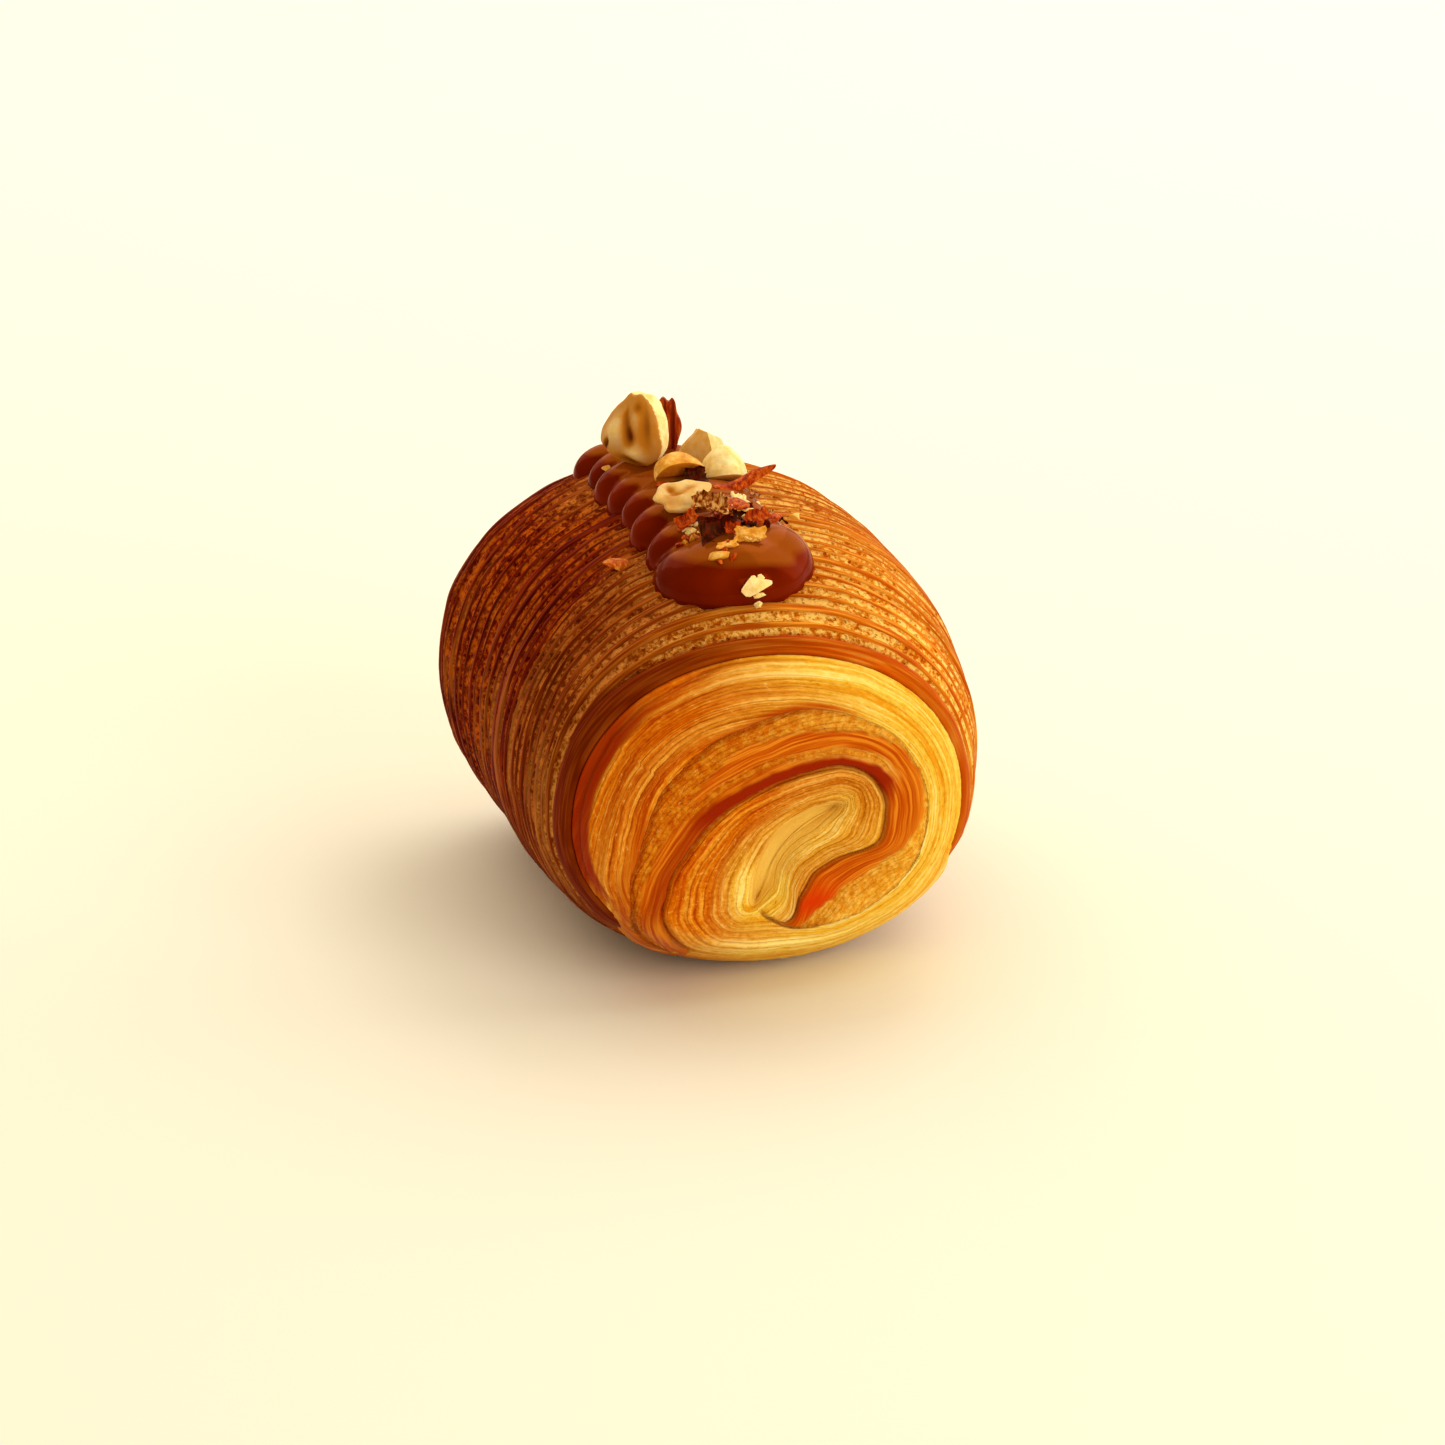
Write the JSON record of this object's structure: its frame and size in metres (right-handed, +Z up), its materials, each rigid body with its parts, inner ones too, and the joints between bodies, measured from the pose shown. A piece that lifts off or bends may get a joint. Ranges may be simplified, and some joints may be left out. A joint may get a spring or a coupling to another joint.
{
  "type": "filled croissant",
  "caption": "Rolled laminated croissant with spiral ends, on a flattened base, with a piped ganache border, hazelnut pieces, an almond sliver and nut skins on top.",
  "frame": {"origin": "on the resting surface, under the middle of the roll", "axes": "+Z up, +Y along the roll away from the spiral end that is seen first, +X to the right seen from that end"},
  "size_m": [0.0912, 0.1046, 0.0938],
  "materials": {
    "crust": "egg-washed laminated dough, baked golden to deep brown, low gloss with crumbly bands",
    "ganache": "set milk ganache with hazelnut, smooth and glossy",
    "nut_pale": "pale broken hazelnut flesh",
    "nut_gold": "lightly roasted hazelnut flesh",
    "nut_skin": "papery red-brown nut skin"
  },
  "bodies": {
    "root": {"pastry": "crust", "ganache": "ganache", "hazelnut_half_back": "nut_pale", "hazelnut_chunk": "nut_pale", "hazelnut_slice": "nut_pale", "hazelnut_half_right": "nut_gold", "hazelnut_half_left": "nut_gold", "almond_sliver": "nut_skin", "skin_shard": "nut_skin", "skin_flake": "nut_skin"}
  },
  "joints": []
}
